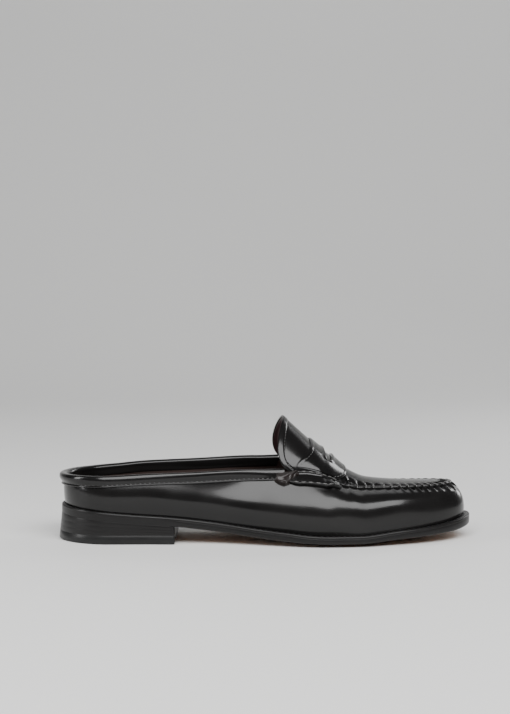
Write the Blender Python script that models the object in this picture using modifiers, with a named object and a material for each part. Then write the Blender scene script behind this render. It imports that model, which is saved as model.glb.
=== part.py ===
"""Low-back penny loafer for the right foot, standing empty on its sole.

Metres. +X points to the toe, +Y to the inner side of the foot, +Z up. The origin is the middle
of the footprint on the floor. A place is a share of the shoe's length, from 0 at the back of
the heel to 1 at the tip of the toe; a turn goes round the shoe from 0 at the back of the heel
to -1 at the toe along the outer side, or to +1 along the inner side.
"""
import math

import bmesh
import bpy
import numpy as np
from mathutils import Vector

# Driving sizes
LENGTH = 0.270  # from the heel's flared back to the tip of the sole
BALL_WIDTH = 0.094  # sole across the ball
HEEL_WIDTH = 0.066  # sole across the heel seat
HEEL_HEIGHT = 0.0173  # floor to the underside of the outsole, at the back
HEEL_LENGTH = 0.077  # back of the heel to its breast
HEEL_FLARE = 0.0018  # how far the heel spreads backwards from seat to floor
LIFT = 0.0055  # top piece of the heel
TOE_SPRING = 0.0080  # height of the tread under the tip of the toe
TOE_SWING = 0.0085  # how far the toe turns to the inner side
EDGE_LIFT = 0.0020  # rise of the tread from its middle to its edges
OUTSOLE = 0.0036  # outsole, thickening towards the toe
WELT = 0.0019  # welt
WELT_MARGIN = 0.0050  # how far the welt stands out past the upper, at the forefoot
WELT_OVERLAP = 0.0060  # how far the welt reaches in under the upper and insole
INSOLE = 0.0025  # insole board with its sock
WALL = 0.0018  # leather and lining of the upper
WALL_BULGE = 0.0040  # how far the wall of the vamp swells past its foot
SHOULDER = 0.0190  # how far the wall of the vamp rolls in to the apron
TOE_SETBACK = 0.0040  # tip of the sole to the foot of the upper
SEAM_SETBACK = 0.0130  # tip of the sole to the apron's tip
COLLAR_SETBACK = 0.0034  # back of the heel to the wall's rim
COLLAR_BACK = 0.0430  # top of the collar at the back
COLLAR_SIDE = 0.0488  # top of the collar at the sides
COLLAR_TILT = 0.0009  # how much the collar rises on the inner side and drops on the outer
SEAM_HEIGHT = 0.0340  # apron's edge over the forefoot
INNER_DROP = 0.0010  # how much lower that edge lies on the inner side
TONGUE_HEIGHT = 0.0797  # top of the tongue
TONGUE_TURN = math.radians(3.4)  # turn of the instep towards the inner side
TONGUE_BOW = 0.0064  # how far the tongue's edge bows back at mid height
TONGUE_LEAN = 0.0022  # how far its tip lies behind its corners
BINDING = 0.0021  # padded binding on one side of the rim
BINDING_DEPTH = 0.0044  # how far the binding reaches down the outside
LINING_DEPTH = 0.0050  # how far it reaches down the inside
COLLAR_END = 0.0032  # strap's corner to the end of the binding
STRAP = 0.0016  # strap leather
STRAP_WIDTH = 0.0232  # strap, along the ridge of the instep
STRAP_REAR = 0.1640  # back of the heel to the strap's rear edge, on the ridge
STRAP_SWEEP = 0.0092  # how far the strap's ends lie behind its middle
SLOT_BEHIND = 0.0110  # strap's rear edge to the middle of its slot
SLOT_LENGTH = 0.0380  # slot across the strap
SLOT_WIDTH = 0.0055
ROLL_START = 0.0014  # strap's corner to the rear end of the roll below it
ROLL = 0.0026  # thickness of the strap's rolled ends
ROLL_DEPTH = 0.0108  # their greatest height
SEAM = 0.0013  # height of the raised seam over the leather
SEAM_WIDTH = 0.0060  # seam across, over the apron's edge
CLEAR = 0.0003  # running gap between neighbouring pieces
ROLL_GAP = 0.0004  # gap under a rolled end

# Numbers of sections
REAR_SECTIONS = 18  # upper, from the heel to the end of the binding, on one side
FRONT_SECTIONS = 28  # upper, from the strap's corner to the toe, on one side
WALL_ROWS = 9
APRON_COLUMNS = 16
OUTSOLE_SECTIONS = 40
INSOLE_SECTIONS = 36
WELT_SECTIONS = 42  # on one side
HEEL_SECTIONS = 12
STRAP_ROWS = 6
SLOT_CORNERS = 12
PLATE_COLUMNS = (-1, -0.7, -0.35, 0, 0.35, 0.7, 1)  # shares of a plate's half width

BLACK = (0.012, 0.011, 0.011)
SHINE = 0.15  # roughness of polished leather
SATIN = 0.3  # roughness of dressed edges


def table(columns, *rows):
    """Rows of numbers under named columns."""
    return {name: np.array([row[i] for row in rows]) for i, name in enumerate(columns.split())}


# Sole. ball: how far the width follows BALL_WIDTH and no longer HEEL_WIDTH. outer, inner: half
# widths as shares of half that width. axis: share of TOE_SWING. seat: share of HEEL_HEIGHT.
# spring: share of TOE_SPRING. crown: share of EDGE_LIFT. thick: share of OUTSOLE.
# margin: share of WELT_MARGIN.
SOLE = table(
    "place ball outer inner axis seat spring crown thick margin",
    (0.000, 0.0, 0.960, 0.960, 0.00, 1.000, 0.00, 0.00, 1.00, 0.40),
    (0.120, 0.0, 1.000, 1.000, 0.00, 0.835, 0.00, 0.00, 1.00, 0.40),
    (0.200, 0.0, 0.990, 0.985, 0.00, 0.735, 0.00, 0.00, 1.00, 0.42),
    (0.285, 0.1, 0.960, 0.900, 0.00, 0.645, 0.00, 0.00, 1.00, 0.45),
    (0.380, 0.3, 0.915, 0.780, 0.00, 0.460, 0.00, 0.20, 1.00, 0.50),
    (0.487, 0.7, 0.930, 0.755, 0.00, 0.215, 0.00, 0.55, 1.00, 0.70),
    (0.550, 0.9, 0.960, 0.815, 0.00, 0.090, 0.00, 0.85, 1.00, 0.85),
    (0.600, 1.0, 0.985, 0.900, 0.02, 0.025, 0.00, 1.00, 0.84, 0.95),
    (0.645, 1.0, 1.000, 0.960, 0.06, 0.000, 0.00, 1.00, 0.80, 1.00),
    (0.720, 1.0, 0.985, 0.975, 0.20, 0.000, 0.00, 1.00, 0.80, 1.00),
    (0.810, 1.0, 0.895, 0.895, 0.48, 0.000, 0.22, 1.00, 0.92, 1.00),
    (0.900, 1.0, 0.815, 0.815, 0.78, 0.000, 0.43, 0.80, 1.08, 1.00),
    (0.960, 1.0, 0.775, 0.775, 0.93, 0.000, 0.68, 0.40, 1.30, 0.90),
    (1.000, 1.0, 0.755, 0.755, 1.00, 0.000, 1.00, 0.00, 1.45, 0.85),
)

# Upper line of the wall: collar at the back, apron's edge in front. outer, inner: half widths
# as shares of half BALL_WIDTH. back, side, seam: shares of COLLAR_BACK, COLLAR_SIDE and
# SEAM_HEIGHT that make up the height. bound: 1 where the binding sits on the rim. tilt: share
# of COLLAR_TILT.
TOP_LINE = table(
    "place outer inner back side seam bound tilt",
    (0.013, 0.600, 0.655, 1.000, 0.000, 0.000, 1.0, 0.0),
    (0.050, 0.608, 0.660, 1.005, 0.000, 0.000, 1.0, 0.0),
    (0.120, 0.618, 0.675, 0.780, 0.210, 0.000, 1.0, 0.4),
    (0.200, 0.610, 0.688, 0.500, 0.490, 0.000, 1.0, 0.9),
    (0.346, 0.602, 0.700, 0.100, 0.878, 0.000, 1.0, 1.0),
    (0.480, 0.614, 0.700, 0.000, 1.000, 0.000, 1.0, 1.0),
    (0.534, 0.620, 0.695, 0.000, 1.000, 0.000, 1.0, 1.0),
    (0.551, 0.619, 0.688, 0.000, 1.010, 0.000, 0.4, 0.9),
    (0.584, 0.614, 0.676, 0.000, 1.000, 0.000, 0.0, 0.6),
    (0.612, 0.605, 0.657, 0.000, 0.945, 0.000, 0.0, 0.3),
    (0.632, 0.588, 0.630, 0.000, 0.900, 0.000, 0.0, 0.1),
    (0.650, 0.560, 0.598, 0.000, 0.680, 0.260, 0.0, 0.0),
    (0.666, 0.532, 0.562, 0.000, 0.420, 0.530, 0.0, 0.0),
    (0.690, 0.494, 0.505, 0.000, 0.000, 1.050, 0.0, 0.0),
    (0.720, 0.472, 0.475, 0.000, 0.000, 1.005, 0.0, 0.0),
    (0.770, 0.455, 0.455, 0.000, 0.000, 1.000, 0.0, 0.0),
    (0.870, 0.460, 0.460, 0.000, 0.000, 1.000, 0.0, 0.0),
    (0.930, 0.490, 0.490, 0.000, 0.000, 1.010, 0.0, 0.0),
    (0.952, 0.500, 0.500, 0.000, 0.000, 1.018, 0.0, 0.0),
)

# Wall between welt and upper line. foot_out: share of WALL_BULGE, top_out: share of SHOULDER.
# foot_up and top_down: how far up the wall those swellings are drawn from its two ends, as
# shares of its height.
SWELL = table(
    "place foot_out foot_up top_out top_down",
    (0.000, 0.25, 0.38, 0.030, 0.27),
    (0.200, 0.69, 0.43, 0.195, 0.34),
    (0.400, 0.97, 0.53, 0.150, 0.52),
    (0.560, 1.00, 0.50, 0.390, 0.46),
    (0.650, 1.10, 0.50, 0.620, 0.42),
    (0.720, 0.55, 0.52, 1.020, 0.10),
    (0.820, 0.25, 0.54, 0.930, 0.05),
    (0.930, 0.60, 0.42, 0.600, 0.07),
    (1.000, 0.50, 0.35, 0.400, 0.10),
)

# Ridge of instep and apron. height: share of TONGUE_HEIGHT. round: 1 for an elliptical arch,
# 0 for a parabola. bow: how far the tongue's bowed edge still shows.
RIDGE = table(
    "place height round bow",
    (0.5510, 1.000, 0.50, 1.0),
    (0.607, 0.807, 0.50, 0.1),
    (0.658, 0.667, 0.50, 0.0),
    (0.698, 0.560, 0.50, 0.0),
    (0.745, 0.492, 0.40, 0.0),
    (0.806, 0.469, 0.30, 0.0),
    (0.866, 0.459, 0.25, 0.0),
    (0.930, 0.452, 0.20, 0.0),
    (0.952, 0.434, 0.20, 0.0),
)

# Rolled end of the strap, from its rear end (0) to the seam (1). depth: share of ROLL_DEPTH.
# swell: share of ROLL.
ROLL_SHAPE = table(
    "place depth swell",
    (0.00, 0.72, 0.75),
    (0.25, 1.00, 0.95),
    (0.60, 0.98, 1.00),
    (1.00, 0.68, 0.70),
)

# Section through a rolled end, from its lower edge up. down: share of its depth. lift: share
# of its thickness.
ROLL_SECTION = table(
    "down lift",
    (1.00, 0.35),
    (0.80, 0.85),
    (0.50, 1.00),
    (0.20, 0.85),
    (0.04, 0.35),
)

CORNER = 0.5510  # place of the strap's corners, where collar and tongue meet
SEAM_START = 0.672  # place where the raised seam takes over from the strap's rolled ends
SKEW_FROM = 0.36  # place where the turn of the instep starts
SKEW_FULL = 0.55
HEEL_ROUND = 0.125  # share of the length that rounds off the heel
TOE_ROUND = 0.200  # share of the length that rounds off the toe
TOE_FULLNESS = 2.2  # power of that curve; 2 is an ellipse
TREAD_FLAT = 0.35  # share of the tread's half width before it rises to the edge
TREAD_CURVE = 1.6  # power of that rise
SWEEP_CURVE = 5  # power with which the strap's ends sweep back
STRAP_REACH = 0.985  # share of the arch between the rolled ends that the strap covers
NEXT = 0.004  # step in turn or share over which a slope is measured
SNUG = 0.0016  # gap in turn between a rolled end and the seam


def read(chart, name, place):
    """Value of one column at a place, on a smooth curve that never overshoots its rows."""
    places, values = chart["place"], chart[name]
    slopes = np.diff(values) / np.diff(places)
    i = int(np.clip(np.searchsorted(places, place) - 1, 0, len(places) - 2))

    def tangent(k):
        before, after = slopes[max(k - 1, 0)], slopes[min(k, len(slopes) - 1)]
        return 0.0 if before * after <= 0 else 2 * before * after / (before + after)

    width = places[i + 1] - places[i]
    t = float(np.clip((place - places[i]) / width, 0, 1))
    start = values[i] * (2 * t**3 - 3 * t**2 + 1) + values[i + 1] * (3 * t**2 - 2 * t**3)
    return float(start + width * (tangent(i) * (t**3 - 2 * t**2 + t) + tangent(i + 1) * (t**3 - t**2)))


def mix(a, b, share):
    return a + (b - a) * share


def smooth(low, high, value):
    """0 below low, 1 above high, with a soft step between them."""
    t = min(max((value - low) / (high - low), 0.0), 1.0)
    return t * t * (3 - 2 * t)


def place_of(turn):
    """Place along an outline that runs once round the shoe."""
    return (1 - math.cos(math.pi * abs(turn))) / 2


def side_of(turn):
    """-1 on the outer side, 1 on the inner side; a turn past 1 comes round to the other side."""
    return -1 if math.sin(math.pi * turn) < 0 else 1


def turn_of(place):
    return math.acos(1 - 2 * place) / math.pi


def rounding(place):
    """Share of the full width that is left where the heel and toe are rounded off."""
    if place < HEEL_ROUND:
        return math.sqrt(max(1 - (1 - place / HEEL_ROUND) ** 2, 0.0))
    reach = max((place - 1) / TOE_ROUND + 1, 0.0)
    return max(1 - reach**TOE_FULLNESS, 0.0) ** (1 / TOE_FULLNESS)


def half_width(side, place):
    """Half width of the sole on one side, before its ends are rounded off."""
    full = mix(HEEL_WIDTH, BALL_WIDTH, read(SOLE, "ball", place))
    return full / 2 * read(SOLE, "outer" if side < 0 else "inner", place)


def axis(place):
    return TOE_SWING * read(SOLE, "axis", place)


def outline(turn, inset=0.0, back=HEEL_FLARE, front=0.0):
    """Plan of the sole's edge, or of a line set in from it."""
    place = place_of(turn)
    side = side_of(turn)
    x = -LENGTH / 2 + back + (LENGTH - back - front) * place
    return x, axis(place) + side * (half_width(side, place) - inset) * rounding(place)


def tread(x, y):
    """Underside of the outsole over a point of the plan."""
    place = min(max((x + LENGTH / 2 - HEEL_FLARE) / (LENGTH - HEEL_FLARE), 0.0), 1.0)
    side = -1 if y < axis(place) else 1
    reach = max(half_width(side, place) * rounding(place), CLEAR)
    across = min(abs(y - axis(place)) / reach, 1.0)
    rise = (max(across - TREAD_FLAT, 0) / (1 - TREAD_FLAT)) ** TREAD_CURVE
    edge = EDGE_LIFT * read(SOLE, "crown", place) * rise
    return HEEL_HEIGHT * read(SOLE, "seat", place) + TOE_SPRING * read(SOLE, "spring", place) + edge


def outsole_top(x, y):
    place = min(max(x / LENGTH + 0.5, 0.0), 1.0)
    return tread(x, y) + OUTSOLE * read(SOLE, "thick", place)


def welt_top(x, y):
    return outsole_top(x, y) + CLEAR + WELT


def foot_line(turn, inset=0.0):
    """Foot of the upper on the welt, or a line set in from it."""
    place = place_of(turn)
    margin = WELT_MARGIN * read(SOLE, "margin", place)
    back = HEEL_FLARE + WELT_MARGIN * read(SOLE, "margin", 0.0)
    return outline(turn, margin + inset, back + inset * (1 - place), TOE_SETBACK + inset * place)


def top_line(turn):
    """Upper line of the wall: the rim under the binding, and the apron's edge in front."""
    share = place_of(turn)
    place = mix(COLLAR_SETBACK / LENGTH, 1 - SEAM_SETBACK / LENGTH, share)
    side = side_of(turn)
    half = BALL_WIDTH / 2 * read(TOP_LINE, "outer" if side < 0 else "inner", place)
    y = axis(share) + side * half * rounding(share)
    skew = math.tan(TONGUE_TURN) * smooth(SKEW_FROM, SKEW_FULL, place)
    height = COLLAR_BACK * read(TOP_LINE, "back", place) + COLLAR_SIDE * read(TOP_LINE, "side", place)
    height += SEAM_HEIGHT * read(TOP_LINE, "seam", place)
    height -= (BINDING + CLEAR) * read(TOP_LINE, "bound", place)
    height += side * COLLAR_TILT * read(TOP_LINE, "tilt", place) * rounding(share)
    if side > 0:
        height -= INNER_DROP * read(TOP_LINE, "seam", place) * rounding(share)
    x = (place - 0.5) * LENGTH - skew * (y - axis(share)) * (1 - smooth(0.8, 1.0, share))
    return np.array((x, y, height))


def wall(turn, up):
    """Outer surface of the wall, from the welt (up 0) to its upper line (up 1)."""
    place = place_of(turn)
    x, y = foot_line(turn)
    foot = np.array((x, y, welt_top(x, y) + CLEAR))
    top = top_line(turn)
    ahead, behind = np.array(foot_line(turn + NEXT)), np.array(foot_line(turn - NEXT))
    along = (ahead - behind) / np.linalg.norm(ahead - behind)
    outward = np.array((-along[1], along[0], 0.0))
    rise = top[2] - foot[2]
    lower = foot + outward * WALL_BULGE * read(SWELL, "foot_out", place)
    lower[2] += rise * read(SWELL, "foot_up", place)
    upper = top + outward * SHOULDER * read(SWELL, "top_out", place)
    upper[2] -= rise * read(SWELL, "top_down", place)
    down = 1 - up
    return down**3 * foot + 3 * down**2 * up * lower + 3 * down * up**2 * upper + up**3 * top


def apron(turn, across):
    """Outer surface of apron, instep and tongue; across runs from -1 outside to 1 inside."""
    outer, inner = top_line(-abs(turn)), top_line(abs(turn))
    middle = (outer + inner) / 2
    point = middle + (inner - outer) / 2 * across
    place = middle[0] / LENGTH + 0.5
    crown = TONGUE_HEIGHT * read(RIDGE, "height", place) - middle[2]
    arch_share = read(RIDGE, "round", place)
    arch = mix(1 - across**2, math.sqrt(max(1 - across**2, 0.0)), arch_share)
    point[2] += max(crown, 0.0) * arch
    swing = arch**0.7
    bow = TONGUE_BOW * 4 * swing * (1 - swing) + TONGUE_LEAN * arch
    point[0] -= bow * read(RIDGE, "bow", place)
    return point


def normal(surface, turn, across):
    """Outward unit normal of wall or apron, by differences."""
    low = 0.0 if surface is wall else -1.0
    across = min(max(across, low + NEXT), 1 - NEXT)
    if surface is apron:
        turn = min(turn, 1 - 2 * NEXT)
    along = surface(turn + NEXT, across) - surface(turn - NEXT, across)
    aside = surface(turn, across + NEXT) - surface(turn, across - NEXT)
    outward = np.cross(aside, along) if surface is wall else np.cross(along, aside)
    return outward / np.linalg.norm(outward)


def skin(surface, a, b, lift):
    return surface(a, b) + normal(surface, a, b) * lift


def down_wall(turn, depth):
    """The up value that lies a given depth below the wall's upper line, along the leather."""
    ups = np.linspace(1, 0, 25)
    points = [wall(turn, up) for up in ups]
    run = np.concatenate(([0.0], np.cumsum([np.linalg.norm(b - a) for a, b in zip(points, points[1:])])))
    return float(np.interp(depth, run, ups))


def turn_at(place):
    """Turn whose point on the upper line lies at a place of the shoe's length."""
    back, front = COLLAR_SETBACK / LENGTH, 1 - SEAM_SETBACK / LENGTH
    return turn_of((place - back) / (front - back))


def stations():
    """Turns of the upper's sections on one side, with one on the strap's corner."""
    rear = np.linspace(0, turn_at(CORNER - COLLAR_END / LENGTH), REAR_SECTIONS)
    front = np.linspace(turn_at(CORNER), 1, FRONT_SECTIONS + 1)
    return [float(turn) for turn in np.concatenate((rear, front))]


def stretch(start, stop):
    """The upper's own sections between two turns, with both turns themselves."""
    between = [turn for turn in stations() if start + SNUG < turn < stop - SNUG]
    return [start] + between + [stop]


def seam_turns():
    """Those of the upper's sections that carry the raised seam, on one side."""
    return [turn for turn in stations() if turn >= turn_at(SEAM_START)]


def apron_at(x, y):
    """The apron's own coordinates under a point of the plan, on the chord that passes through it."""
    low, high = turn_at(CORNER), 1.0
    for _ in range(24):
        turn = (low + high) / 2
        outer, inner = top_line(-turn), top_line(turn)
        share = (y - outer[1]) / max(inner[1] - outer[1], CLEAR)
        if outer[0] + (inner[0] - outer[0]) * share < x:
            low = turn
        else:
            high = turn
    return turn, min(max(2 * share - 1, -1.0), 1.0)


def material(name, colour, roughness):
    made = bpy.data.materials.new(name)
    made.use_nodes = True
    shader = made.node_tree.nodes["Principled BSDF"]
    shader.inputs["Base Color"].default_value = (*colour, 1)
    shader.inputs["Roughness"].default_value = roughness
    made.diffuse_color = (*colour, 1)
    return made


def finish(name, bm, colour, roughness):
    """Object of one sub-part from its bmesh, smooth shaded, in the shoe's collection."""
    mesh = bpy.data.meshes.new(name)
    bm.to_mesh(mesh)
    bm.free()
    mesh.shade_smooth()
    mesh.set_sharp_from_angle(angle=math.radians(40))
    piece = bpy.data.objects.new(name, mesh)
    mesh.materials.append(material(name + "_finish", colour, roughness))
    shoe.objects.link(piece)
    return piece


def sheet(rows, ring=False):
    """Open sheet through rows of points; a row of one point is a tip."""
    bm = bmesh.new()
    grid = [[bm.verts.new(point) for point in row] for row in rows]
    pairs = list(zip(grid, grid[1:]))
    if ring:
        pairs.append((grid[-1], grid[0]))
    for first, second in pairs:
        for k in range(max(len(first), len(second)) - 1):
            corners = [first[min(k, len(first) - 1)], second[min(k, len(second) - 1)]]
            corners += [second[min(k + 1, len(second) - 1)], first[min(k + 1, len(first) - 1)]]
            bm.faces.new(list(dict.fromkeys(corners)))
    return bm


def solid(over, under, ring=False):
    """Closed solid between two sheets of the same layout, joined round their rims."""
    bm = sheet(over, ring)
    faces, verts = list(bm.faces), list(bm.verts)
    rims = [edge.link_loops[0] for edge in bm.edges if edge.is_boundary]
    borders = [(loop.vert, loop.link_loop_next.vert) for loop in rims]
    points = [point for row in under for point in row]
    twin = {vert: bm.verts.new(point) for vert, point in zip(verts, points)}
    for face in faces:
        bm.faces.new([twin[vert] for vert in reversed(face.verts)])
    for start, end in borders:
        bm.faces.new((end, start, twin[start], twin[end]))
    bmesh.ops.recalc_face_normals(bm, faces=bm.faces)
    return bm


def plate_rows(line, count, height, stop=1.0):
    """Rows across a plate with the outline of line, at the height given over the plan."""
    rows = []
    for i in range(count + 1):
        if stop < 1:
            turn = turn_of(stop * (1 - math.cos(math.pi / 2 * i / count)))
        else:
            turn = i / count
        (x, outer), (_, inner) = line(-turn), line(turn)
        if abs(inner - outer) < 1e-7:
            rows.append([(x, outer, height(x, outer))])
            continue
        middle = axis(place_of(turn))
        across = [mix(middle, outer if share < 0 else inner, abs(share)) for share in PLATE_COLUMNS]
        rows.append([(x, y, height(x, y)) for y in across])
    return rows


def make_outsole():
    over = plate_rows(outline, OUTSOLE_SECTIONS, outsole_top)
    under = plate_rows(outline, OUTSOLE_SECTIONS, tread)
    return finish("outsole", solid(over, under), (0.30, 0.16, 0.08), 0.45)


def make_welt():
    """Flat strip round the whole sole, from its edge to a little way under the insole."""
    over, under = [], []
    for i in range(2 * WELT_SECTIONS):
        turn = -i / WELT_SECTIONS if i <= WELT_SECTIONS else 2 - i / WELT_SECTIONS
        place = place_of(turn)
        inset = WELT_MARGIN * read(SOLE, "margin", place) + WELT_OVERLAP
        ends = outline(turn), foot_line(turn), outline(turn, inset, HEEL_FLARE + inset, inset)
        over.append([(x, y, welt_top(x, y)) for x, y in ends])
        under.append([(x, y, outsole_top(x, y) + CLEAR) for x, y in ends])
    return finish("welt", solid(over, under, ring=True), BLACK, SATIN)


def make_insole():
    inset = WALL + 2 * CLEAR

    def line(turn):
        return foot_line(turn, inset)

    over = plate_rows(line, INSOLE_SECTIONS, lambda x, y: welt_top(x, y) + CLEAR + INSOLE)
    under = plate_rows(line, INSOLE_SECTIONS, lambda x, y: welt_top(x, y) + CLEAR)
    return finish("insole", solid(over, under), (0.03, 0.018, 0.014), 0.6)


def flared(rows, height, share):
    """Rows of the heel moved back by a share of its flare, most at the back, at one height."""
    breast = rows[-1][0][0]
    back = rows[0][0][0]
    moved = []
    for row in rows:
        step = HEEL_FLARE * share * (breast - row[0][0]) / (breast - back)
        moved.append([(x - step, y, height) for x, y, _ in row])
    return moved


def make_heel():
    """Stacked block between outsole and top piece, and the top piece on the floor."""
    stop = (HEEL_LENGTH - HEEL_FLARE) / (LENGTH - HEEL_FLARE)
    seat = plate_rows(outline, HEEL_SECTIONS, lambda x, y: tread(x, y) - CLEAR, stop)
    levels = [(LIFT + CLEAR, 1 - LIFT / HEEL_HEIGHT), (LIFT, 1 - LIFT / HEEL_HEIGHT), (0.0, 1.0)]
    foot, lift_top, lift_foot = (flared(seat, height, share) for height, share in levels)
    finish("heel_block", solid(seat, foot), BLACK, SATIN)
    finish("top_lift", solid(lift_top, lift_foot), (0.02, 0.02, 0.02), 0.6)


def make_upper():
    """Wall, apron and tongue as one open sheet, thickened inwards."""
    side = stations()
    last = len(side) - 1
    ring = [-turn for turn in side] + [side[i] for i in range(last - 1, 0, -1)]
    ups = np.linspace(0, 1, WALL_ROWS + 1)
    bm = bmesh.new()
    grid = [[bm.verts.new(wall(turn, up)) for up in ups] for turn in ring]
    for j, column in enumerate(grid):
        following = grid[(j + 1) % len(grid)]
        for k in range(WALL_ROWS):
            bm.faces.new((column[k], following[k], following[k + 1], column[k + 1]))
    rows = []
    for i in range(REAR_SECTIONS, last):
        row = [grid[i][-1]]
        for k in range(1, APRON_COLUMNS):
            across = math.sin(math.pi / 2 * (2 * k / APRON_COLUMNS - 1))
            row.append(bm.verts.new(apron(side[i], across)))
        rows.append(row + [grid[len(grid) - i][-1]])
    for first, second in zip(rows, rows[1:]):
        for k in range(APRON_COLUMNS):
            bm.faces.new((first[k], second[k], second[k + 1], first[k + 1]))
    tip = grid[last][-1]
    for k in range(APRON_COLUMNS):
        bm.faces.new((rows[-1][k], tip, rows[-1][k + 1]))
    upper = finish("upper", bm, BLACK, SHINE)
    thicken = upper.modifiers.new("leather", "SOLIDIFY")
    thicken.thickness = WALL
    thicken.offset = -1
    thicken.use_even_offset = True
    return upper


def lap(turn, pad):
    """Section of the binding round the rim, from its outer lower edge over to the lining."""
    low, lining = down_wall(turn, BINDING_DEPTH), down_wall(turn, LINING_DEPTH)
    rim = wall(turn, 1.0)
    rise = rim - wall(turn, 1 - NEXT)
    rise /= np.linalg.norm(rise)
    out = normal(wall, turn, 1.0)
    near, far = CLEAR, -WALL - CLEAR
    return [
        skin(wall, turn, low, near + pad * 0.6),
        skin(wall, turn, mix(low, 1, 0.25), near + pad),
        skin(wall, turn, mix(low, 1, 0.7), near + pad),
        rim + out * (near + pad * 0.7) + rise * (CLEAR + pad * 0.35),
        rim - out * WALL / 2 + rise * (CLEAR + pad),
        rim + out * (far - pad * 0.6) + rise * (CLEAR + pad * 0.35),
        skin(wall, turn, mix(lining, 1, 0.4), far - pad * 0.8),
        skin(wall, turn, lining, far - pad * 0.4),
    ]


def make_binding():
    """Padded strip folded over the rim, from one end of the strap round the heel to the other."""
    side = stretch(0.0, turn_at(CORNER - COLLAR_END / LENGTH))
    turns = [-turn for turn in reversed(side)] + side[1:]
    over = [lap(turn, BINDING) for turn in turns]
    under = [lap(turn, 0.0) for turn in turns]
    return finish("collar_binding", solid(over, under), BLACK, SHINE)


def make_roll(side, name):
    """Rolled end of the strap on the wall, high at the rear and low where the seam begins."""
    turns = stretch(turn_at(CORNER - ROLL_START / LENGTH), seam_turns()[0] - SNUG)
    over, under = [], []
    for turn in turns:
        step = (turn - turns[0]) / (turns[-1] - turns[0])
        depth = ROLL_DEPTH * read(ROLL_SHAPE, "depth", step)
        swell = read(ROLL_SHAPE, "swell", step)
        ups = [down_wall(side * turn, depth * down) for down in ROLL_SECTION["down"]]
        lifts = ROLL * swell * ROLL_SECTION["lift"]
        under.append([skin(wall, side * turn, up, ROLL_GAP) for up in ups])
        over.append([skin(wall, side * turn, up, CLEAR + lift) for up, lift in zip(ups, lifts)])
    return finish(name, solid(over, under), BLACK, SHINE)


def make_strap():
    """Strap over the instep, from roll to roll, with a lens-shaped slot across its middle."""
    middle = STRAP_REAR / LENGTH
    over, under = [], []
    for step in np.linspace(0, 1, STRAP_ROWS + 1):
        lower, upper_row = [], []
        for k in range(APRON_COLUMNS + 1):
            across = math.sin(math.pi / 2 * (2 * k / APRON_COLUMNS - 1)) * STRAP_REACH
            swept = STRAP_SWEEP / LENGTH * abs(across) ** SWEEP_CURVE
            place = middle + float(step) * STRAP_WIDTH / LENGTH - swept
            turn = turn_at(place)
            lower.append(skin(apron, turn, across, CLEAR))
            upper_row.append(skin(apron, turn, across, CLEAR + STRAP))
        under.append(lower)
        over.append(upper_row)
    strap = finish("saddle_strap", solid(over, under), BLACK, SHINE)
    cut = strap.modifiers.new("slot", "BOOLEAN")
    cut.operation = "DIFFERENCE"
    cut.solver = "EXACT"
    cut.object = slot_cutter(turn_at((STRAP_REAR + SLOT_BEHIND) / LENGTH))
    return strap


def slot_cutter(turn):
    """Lens-shaped prism that stands across the ridge of the instep."""
    centre, up = apron(turn, 0.0), normal(apron, turn, 0.0)
    across = apron(turn, 0.1) - apron(turn, -0.1)
    across -= up * np.dot(across, up)
    across /= np.linalg.norm(across)
    along = np.cross(across, up)
    bm = bmesh.new()
    rim = []
    for i in range(SLOT_CORNERS):
        angle = 2 * math.pi * i / SLOT_CORNERS
        a, b = SLOT_LENGTH / 2 * math.cos(angle), SLOT_WIDTH / 2 * math.sin(angle)
        rim.append(bm.verts.new(centre + across * a + along * b + up * 4 * STRAP))
    face = bm.faces.new(rim)
    drop = bmesh.ops.extrude_face_region(bm, geom=[face])
    moved = [item for item in drop["geom"] if isinstance(item, bmesh.types.BMVert)]
    bmesh.ops.translate(bm, vec=Vector(up * -SLOT_LENGTH / 2), verts=moved)
    bmesh.ops.recalc_face_normals(bm, faces=bm.faces)
    mesh = bpy.data.meshes.new("slot_cutter")
    bm.to_mesh(mesh)
    bm.free()
    cutter = bpy.data.objects.new("slot_cutter", mesh)
    cutter.hide_render = True
    cutter.display_type = "WIRE"
    cutters.objects.link(cutter)
    return cutter


def ridge(turn, pad):
    """Section of the raised seam, from the wall over the apron's edge on to the apron."""
    edge = top_line(turn)
    along = top_line(turn + NEXT) - top_line(turn - NEXT)
    inward = np.array((along[1], -along[0], 0.0))
    inward /= np.linalg.norm(inward)
    lean = normal(wall, turn, 1.0) + np.array((0.0, 0.0, 1.0))
    lean /= np.linalg.norm(lean)
    low, high = down_wall(turn, SEAM_WIDTH * 0.6), down_wall(turn, SEAM_WIDTH * 0.25)
    inner = edge + inward * SEAM_WIDTH * 0.35
    bed = 2 * CLEAR
    return [
        skin(wall, turn, low, CLEAR + pad * 0.35),
        skin(wall, turn, high, CLEAR + pad * 0.9),
        edge + lean * (bed + pad * 0.77),
        skin(apron, *apron_at(inner[0], inner[1]), bed + pad * 0.4),
    ]


def make_seam():
    """Raised seam over the apron's edge, from one roll round the toe to the other."""
    side = seam_turns()
    turns = [-turn for turn in side] + side[-2::-1]
    over = [ridge(turn, SEAM) for turn in turns]
    under = [ridge(turn, 0.0) for turn in turns]
    return finish("apron_seam", solid(over, under), BLACK, SHINE)


for leftover in list(bpy.data.objects):
    bpy.data.objects.remove(leftover, do_unlink=True)
shoe = bpy.data.collections.new("loafer")
cutters = bpy.data.collections.new("cutters")
bpy.context.scene.collection.children.link(shoe)
bpy.context.scene.collection.children.link(cutters)

make_outsole()
make_welt()
make_insole()
make_heel()
make_upper()
make_binding()
make_strap()
make_roll(-1, "strap_roll_outer")
make_roll(1, "strap_roll_inner")
make_seam()
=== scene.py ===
import math

import bmesh
import bpy
import numpy as np
from mathutils import Matrix, Vector


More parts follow.
